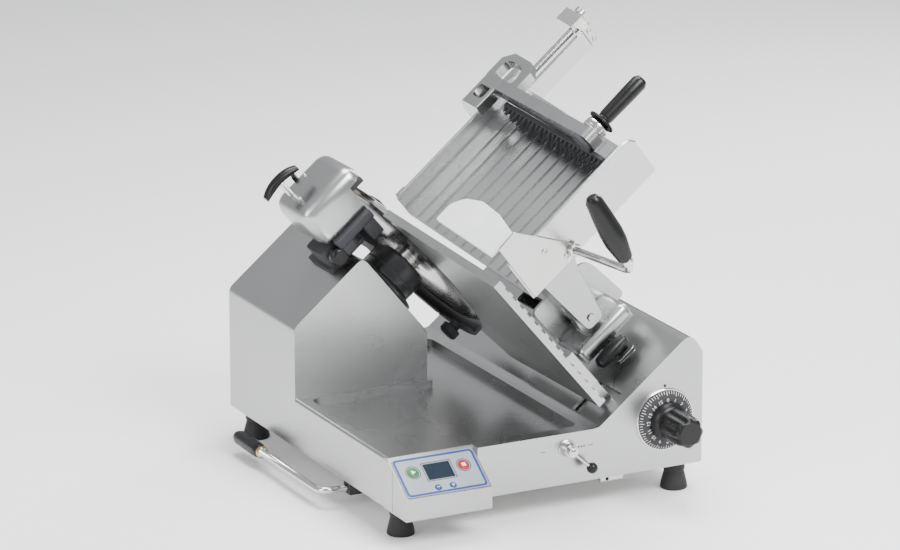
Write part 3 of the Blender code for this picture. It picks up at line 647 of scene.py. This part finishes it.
class SLICER_OT_cover_screws(Operator):
    """Set the screws of the guard plate, rail and knife cover"""
    bl_idname = "slicer.cover_screws"
    bl_label = "Cover Screws"

    def execute(self, context):
        looks = palette(context)
        r = context.scene.slicer.trim.screw_radius
        bm = bmesh.new()
        for a, b in ((0.0593, 0.0520), (0.0836, 0.0110)):
            add_screw(bm, moved(NEAR_WALL, a, b, 0.0086), r * 1.2, 0.0030)
        rail_side = moved(NEAR_WALL, 0, 0, -0.3450)
        for b in (-0.0120, -0.0320):
            add_screw(bm, moved(rail_side, 0.4272, b), r)
        piece(context, "chute_screws", bm, "chute", looks["bright"])
        bm = bmesh.new()
        for k in range(4):
            t = tau * k / 4 + 0.5
            add_screw(bm, moved(BLADE, 0.092 * cos(t), 0.092 * sin(t), -0.0006), 0.0042, 0.0005)
        piece(context, "knife_cover_screws", bm, "base", looks["bright"])
        return {"FINISHED"}


class SLICER_OT_slot_seals(Operator):
    """Edge the carriage slot with a strip and rubber lips, and shield the gauge slot"""
    bl_idname = "slicer.slot_seals"
    bl_label = "Slot Seals"

    def execute(self, context):
        looks = palette(context)
        lip = context.scene.slicer.trim.seal_lip
        skin = axes(KNIFE + DOWN * 0.2358, SLOPE, Y, -DOWN)
        bm = bmesh.new()
        add_frame(bm, rounded(0.0760, 0.1160, -0.3300, 0.0500, 0.008),
                  rounded(0.0840, 0.1080, -0.3210, 0.0410, 0.004), -0.0004, 0.0012, skin)
        piece(context, "carriage_slot_strip", bm, "base", looks["casting"], 0.0004)
        bm = bmesh.new()
        for edge in (0.0830, 0.1048):
            add_box(bm, edge, edge + 0.0042, -0.3220, 0.0420, -0.0032, -0.0012, skin)
        piece(context, "carriage_slot_lips", bm, "base", looks["rubber"], 0.0005)
        # shield under the skin, closing the gauge slot as it slides
        bm = bmesh.new()
        add_prism(bm, rounded(-0.0340, 0.0380 + lip, -0.4060, -0.3140, 0.006), -0.0090, -0.0076, skin)
        piece(context, "gauge_slot_shield", bm, "gauge", looks["casting"], 0.0005)
        return {"FINISHED"}


class SLICER_OT_sharpener_trim(Operator):
    """Shape the sharpener's shell, pins, small lever, fork and turn handle"""
    bl_idname = "slicer.sharpener_trim"
    bl_label = "Sharpener Trim"

    def execute(self, context):
        looks = palette(context)
        bm = bmesh.new()
        add_block(bm, (-0.0360, -0.0750, -0.0620), (0.0490, 0.0420, 0.0620), 0.0215, HEAD)
        shell = piece(context, "sharpener_shell", bm, "sharpener", looks["casting"])
        # open underneath for the stone, and cut back over the knife's edge
        bm = bmesh.new()
        add_box(bm, -0.0120, 0.0600, -0.0620, 0.0290, -0.0200, 0.0660, HEAD)
        carve(context, shell, bm)
        bm = bmesh.new()
        add_box(bm, -0.0080, 0.0600, -0.1200, 0.1200, 0.0330, 0.0700, HEAD)
        carve(context, shell, bm)
        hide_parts("sharpener_housing")
        lid = axes(HEAD.to_translation() + DOWN * -0.0360, SLOPE, Y, -DOWN)
        bm = bmesh.new()
        for a, b in ((-0.0330, -0.0270), (0.0060, 0.0180)):
            add_turned(bm, [(0, -0.0010), (0.0030, -0.0010), (0.0030, 0.0016), (0.0022, 0.0026), (0, 0.0028)],
                       moved(lid, a, b), 20)
        piece(context, "sharpener_pins", bm, "sharpener", looks["bright"])
        bm = bmesh.new()
        add_prism(bm, [(-0.0120, 0.0290), (-0.0040, 0.0290), (0.0000, 0.0400), (-0.0080, 0.0410)], -0.0080, 0.0060, lid)
        piece(context, "stone_lever", bm, "sharpener", looks["grip"], 0.0016)
        # black fork either side of the knife
        bm = bmesh.new()
        for low, high, radius in (((0.0400, -0.0830, -0.0460), (0.0580, -0.0660, 0.0330), 0.0030),
                                  ((0.0400, -0.0830, 0.0400), (0.0800, -0.0500, 0.0560), 0.0030),
                                  ((-0.0060, -0.0700, 0.0330), (0.0040, -0.0400, 0.0600), 0.0020),
                                  ((0.0480, -0.0810, 0.0060), (0.0900, -0.0680, 0.0300), 0.0030),
                                  ((0.0480, -0.0810, -0.0440), (0.0760, -0.0560, -0.0200), 0.0030)):
            add_block(bm, low, high, radius, HEAD, 3)
        piece(context, "sharpener_fork", bm, "sharpener", looks["black"])
        # bowed turn handle on its steel post
        top = axes(KNIFE + SLOPE * -0.0840 + Y * 0.0300, SLOPE, Y, -DOWN)
        bm = bmesh.new()
        rows = []
        for i in range(17):
            t = i / 16 * 2 - 1
            a, c = 0.0370 * t, 0.2590 - 0.0085 * t * t
            half, thick = 0.0098 - 0.0026 * t ** 4, 0.0078 - 0.0026 * t ** 4
            rows.append([bm.verts.new(top @ Vector((a, half * cos(w), c + thick * sin(w))))
                         for w in (tau * j / 16 for j in range(16))])
        add_loft(bm, rows)
        bar = piece(context, "turn_handle_bar", bm, "turn_handle", looks["grip"])
        turned_piece(context, "turn_handle_post",
                     [(0, 0.2225), (0.0050, 0.2225), (0.0050, 0.2520), (0.0078, 0.2530), (0.0078, 0.2570), (0, 0.2570)],
                     top, 24, "turn_handle", looks["bright"])
        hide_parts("turn_handle")
        return {"FINISHED"}


class SLICER_OT_guard_trim(Operator):
    """Add the hub's seam and the ring guard's screws"""
    bl_idname = "slicer.guard_trim"
    bl_label = "Guard Trim"

    def execute(self, context):
        looks = palette(context)
        turned_piece(context, "hub_seam", [(0.0480, -0.0560), (0.0490, -0.0555), (0.0490, -0.0525), (0.0480, -0.0520)],
                     BLADE, 60, "base", looks["black"])
        bm = bmesh.new()
        for degrees in (20, 62, 104, 140):
            turn = BLADE @ Matrix.Rotation(radians(degrees), 4, "Z") @ Matrix.Rotation(pi, 4, "Y")
            add_screw(bm, moved(turn, -0.1650, 0, 0.0258), 0.0040, 0.0022)
        piece(context, "guard_screws", bm, "base", looks["steel"])
        return {"FINISHED"}


class SLICER_OT_chute_trim(Operator):
    """Add the chute's rolled edges, brace and grip ferrule"""
    bl_idname = "slicer.chute_trim"
    bl_label = "Chute Trim"

    def execute(self, context):
        looks = palette(context)
        # rolled bead on top of both walls
        bm = bmesh.new()
        near_edge = (0.006, 0.0842), (0.262, 0.0842), (0.272, 0.0825), (0.280, 0.0770), (0.2845, 0.0680)
        add_bar(bm, [(a, b, 0.0022) for a, b in near_edge], BEAD, 14, NEAR_WALL)
        add_bar(bm, [(0.006, 0.3420, 0.0424), (0.278, 0.3420, 0.0424)], BEAD, 14, CHUTE)
        piece(context, "wall_beads", bm, "chute", looks["sheet"])
        bm = bmesh.new()
        add_box(bm, 0.060, 0.190, 0.118, 0.124, -0.0230, -0.0044, CHUTE)
        add_box(bm, 0.060, 0.190, 0.300, 0.306, -0.0230, -0.0044, CHUTE)
        add_box(bm, 0.268, 0.282, 0.010, 0.330, -0.0160, -0.0044, CHUTE)
        piece(context, "chute_braces", bm, "chute", looks["sheet"], 0.0012)
        # the chute's handle leaves the wall, bends at its elbow and rises to the grip
        start = CHUTE @ Vector((0.098, -0.0104, 0.0120))
        reach = Y * -0.150 + X * 0.024
        rise = X * -0.078 + Z * 0.137
        turned_piece(context, "grip_ferrule",
                     [(0.0063, -0.0100), (0.0088, -0.0100), (0.0100, -0.0080), (0.0100, -0.0010), (0.0090, 0.0),
                      (0.0063, 0.0)],
                     pointing(start + reach + rise * 0.16, rise), 28, "chute", looks["bright"])
        bm = bmesh.new()
        add_turned(bm, [(0.0063, -0.0006), (0.0120, -0.0006), (0.0120, 0.0060), (0.0090, 0.0080), (0.0063, 0.0080)],
                   pointing(start, reach), 6)
        piece(context, "handle_nut", bm, "chute", looks["bright"], 0.0006)
        return {"FINISHED"}


class SLICER_OT_weight_trim(Operator):
    """Add the end weight's rings and the pusher's teeth"""
    bl_idname = "slicer.weight_trim"
    bl_label = "Weight Trim"

    def execute(self, context):
        looks = palette(context)
        grip = moved(SLIDE, -0.3100, 0.0990)
        bm = bmesh.new()
        add_turned(bm, [(0.0199, 0.2560), (0.0206, 0.2566), (0.0206, 0.2596), (0.0199, 0.2602)], grip, 48)
        add_turned(bm, [(0.0068, 0.1870), (0.0108, 0.1870), (0.0108, 0.1898), (0.0068, 0.1898)], SLIDE, 32)
        piece(context, "weight_rings", bm, "weight", looks["bright"])
        bm = bmesh.new()
        # columns of four pointed teeth, shorter toward the far end
        for k in range(24):
            a = -0.3480 + 0.0122 * k
            rise = 0.0610 - 0.0013 * k
            for j in range(4):
                b = 0.0170 + rise * j / 3
                base = [bm.verts.new(SLIDE @ Vector((a + da, b + db, 0.2272)))
                        for da, db in ((-0.0030, -0.0040), (0.0030, -0.0040), (0.0030, 0.0040), (-0.0030, 0.0040))]
                tip = bm.verts.new(SLIDE @ Vector((a, b - 0.0012, 0.2170)))
                bm.faces.new(base)
                for i in range(4):
                    bm.faces.new((base[i], base[(i + 1) % 4], tip))
        piece(context, "pusher_teeth", bm, "weight", looks["black"], smooth=10)
        return {"FINISHED"}


class SLICER_OT_lever_trim(Operator):
    """Add the lift lever's brass ring, the carriage foot's cowl and the release grip"""
    bl_idname = "slicer.lever_trim"
    bl_label = "Lever Trim"

    def execute(self, context):
        looks = palette(context)
        rod = axes(CORNER + Vector((-0.0320, 0.4150, 0.0300)), X, -Z, Y)
        turned_piece(context, "lever_brass_ring",
                     [(0.0062, 0.0006), (0.0098, 0.0006), (0.0104, 0.0020), (0.0104, 0.0070), (0.0096, 0.0086),
                      (0.0062, 0.0086)],
                     rod, 32, "lift_lever", looks["brass"])
        bm = bmesh.new()
        add_block(bm, (0.1762, -0.3125, 0.0380), (0.2084, -0.2330, 0.1545), 0.0125, BLADE, 8)
        piece(context, "foot_cowl", bm, "carriage", looks["casting"])
        # round release grip, swelling in the middle and closed by domed ends
        rows = []
        bm = bmesh.new()
        handle = moved(BLADE, 0.2140, -0.3240)
        for i in range(25):
            t = i / 24
            swell = 0.0088 + 0.0034 * sin(pi * min(1.0, t * 1.15)) ** 0.6 if 0 < t < 0.87 else 0.0088
            end = min(1.0, t / 0.06, (1 - t) / 0.06) ** 0.5 if 0 < t < 1 else 0.15
            r = max(0.0010, swell * end)
            rows.append([bm.verts.new(handle @ Vector((r * cos(w), r * sin(w), 0.0478 + 0.0674 * t)))
                         for w in (tau * j / 24 for j in range(24))])
        add_loft(bm, rows)
        grip = piece(context, "release_grip", bm, "release", looks["grip"])
        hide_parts("release_handle")
        return {"FINISHED"}


class SLICER_OT_case_trim(Operator):
    """Add the rear cover, its vents and screws, the bottom screws and the front bracket"""
    bl_idname = "slicer.case_trim"
    bl_label = "Case Trim"

    def execute(self, context):
        looks = palette(context)
        r = context.scene.slicer.trim.screw_radius
        plate = moved(BACK, -0.125, 0.165)
        bm = bmesh.new()
        add_prism(bm, rounded(-0.085, 0.085, -0.080, 0.075, 0.010), 0.0, 0.0022, plate)
        piece(context, "rear_cover_plate", bm, "base", looks["casting"], 0.0008)
        # the vents are raised near-black strips: painted shade standing in for the openings
        bm = bmesh.new()
        for k in range(9):
            height = -0.0300 + 0.0090 * k
            add_prism(bm, rounded(-0.045, 0.045, height - 0.0018, height + 0.0018, 0.0017), 0.0010, 0.0026, plate)
        piece(context, "rear_vents", bm, "base", looks["shadow"])
        bm = bmesh.new()
        for a, b in ((-0.076, -0.071), (0.076, -0.071), (-0.076, 0.066), (0.076, 0.066)):
            add_screw(bm, moved(plate, a, b, 0.0022), r, 0.0024)
        piece(context, "rear_cover_screws", bm, "base", looks["bright"])
        under = axes(CORNER + Z * 0.0500, X, -Y, -Z)
        bm = bmesh.new()
        for x in (0.090, 0.282, 0.474):
            for y in (0.020, 0.593):
                add_screw(bm, moved(under, x, -y), r, 0.0022)
        piece(context, "bottom_screws", bm, "base", looks["steel"])
        # small sheet bracket under the front edge
        bm = bmesh.new()
        add_box(bm, 0.380, 0.422, 0.006, 0.026, 0.0400, 0.0492, BODY)
        add_turned(bm, [(0, -0.0300), (0.0040, -0.0300), (0.0040, -0.0060), (0, -0.0060)],
                   moved(FRONT, 0.392, 0.0440), 16)
        piece(context, "front_bracket", bm, "base", looks["steel"], 0.0010)
        return {"FINISHED"}


class SLICER_OT_studio(Operator):
    """Set the floor, backdrop, soft lights and camera"""
    bl_idname = "slicer.studio"
    bl_label = "Studio"

    def execute(self, context):
        s = context.scene.slicer.studio
        scene = context.scene
        mat, tree, shader = finish("studio_paper", s.floor, 0.0, 0.85)
        if tree:
            tint(tree, grain(tree, 3.0), shade(s.floor, 0.99), shade(s.floor, 1.01), shader.inputs["Base Color"])
        bm = bmesh.new()
        profile = [(-9.0, 0.0), (6.0, 0.0), (6.6, 0.06), (7.1, 0.25)]
        rows = [[bm.verts.new((x, y, z - 0.0002)) for y, z in profile] for x in (-9.0, 9.0)]
        for near, far in zip(range(3), range(1, 4)):
            bm.faces.new((rows[0][near], rows[1][near], rows[1][far], rows[0][far]))
        mesh = bpy.data.meshes.new("studio_floor")
        bm.to_mesh(mesh)
        bm.free()
        for face in mesh.polygons:
            face.use_smooth = True
        ground = bpy.data.objects.new("studio_floor", mesh)
        ground.rotation_euler.z = radians(-27)
        scene.collection.objects.link(ground)
        mesh.materials.append(mat)
        for name, place, aim, size, power in (
                ("key_light", (0.7, -2.4, 2.5), (0, -0.3, 0.1), (2.0, 1.4), s.key),
                ("fill_light", (-2.5, -1.0, 1.5), (0, 0, 0.3), (1.4, 1.8), s.fill),
                ("top_light", (0.2, 0.4, 3.0), (0, 0, 0.2), (1.8, 1.8), s.key * 0.75),
                ("rim_light", (2.4, 1.6, 1.8), (0, 0, 0.3), (0.8, 1.6), s.fill)):
            data = bpy.data.lights.new(name, "AREA")
            data.shape, data.size, data.size_y, data.energy = "RECTANGLE", size[0], size[1], power
            light = bpy.data.objects.new(name, data)
            light.location = place
            light.rotation_euler = (Vector(aim) - Vector(place)).to_track_quat("-Z", "Y").to_euler()
            scene.collection.objects.link(light)
        world = bpy.data.worlds.new("studio_world")
        world.use_nodes = True
        world.node_tree.nodes["Background"].inputs["Color"].default_value = (0.97, 0.985, 1.0, 1)
        world.node_tree.nodes["Background"].inputs["Strength"].default_value = 0.72
        scene.world = world
        data = bpy.data.cameras.new("studio_camera")
        data.lens, data.sensor_width, data.sensor_fit, data.clip_end = 200.0, 36.0, "HORIZONTAL", 60.0
        camera = bpy.data.objects.new("studio_camera", data)
        turn, rise = radians(27.07), radians(16.68)
        right = Vector((cos(turn), -sin(turn), 0))
        look = Vector((sin(turn) * cos(rise), cos(turn) * cos(rise), -sin(rise)))
        spot = CORNER + Vector((-3.3226, -6.7029, 2.6850))
        camera.matrix_world = axes(spot, right, right.cross(look), -look)
        scene.collection.objects.link(camera)
        scene.camera = camera
        return {"FINISHED"}


class SLICER_PT_sidebar(Panel):
    """Lists the slicer's settings and steps"""
    bl_idname = "SLICER_PT_sidebar"
    bl_label = "Deli Meat Slicer"
    bl_space_type = "VIEW_3D"
    bl_region_type = "UI"
    bl_category = "Slicer"

    def draw(self, context):
        column = self.layout.column()
        for group in ("finish", "trim", "studio"):
            settings = getattr(context.scene.slicer, group)
            for key in settings.bl_rna.properties.keys():
                if key not in ("rna_type", "name"):
                    column.prop(settings, key)
        for step in STEPS:
            column.operator(step.bl_idname)


STEPS = (SLICER_OT_node_finishes, SLICER_OT_keypad_artwork, SLICER_OT_dial_scale, SLICER_OT_selector_marks,
         SLICER_OT_cover_screws, SLICER_OT_slot_seals, SLICER_OT_sharpener_trim, SLICER_OT_guard_trim,
         SLICER_OT_chute_trim, SLICER_OT_weight_trim, SLICER_OT_lever_trim, SLICER_OT_case_trim, SLICER_OT_studio)
CLASSES = (SlicerFinish, SlicerTrim, SlicerStudio, SlicerSettings, *STEPS, SLICER_PT_sidebar)


def register():
    for cls in CLASSES:
        bpy.utils.register_class(cls)
    bpy.types.Scene.slicer = PointerProperty(type=SlicerSettings)


def unregister():
    del bpy.types.Scene.slicer
    for cls in reversed(CLASSES):
        bpy.utils.unregister_class(cls)


def main():
    register()
    for step in STEPS:
        group, name = step.bl_idname.split(".")
        getattr(getattr(bpy.ops, group), name)()
    bpy.context.view_layer.update()


if __name__ == "__main__":
    main()
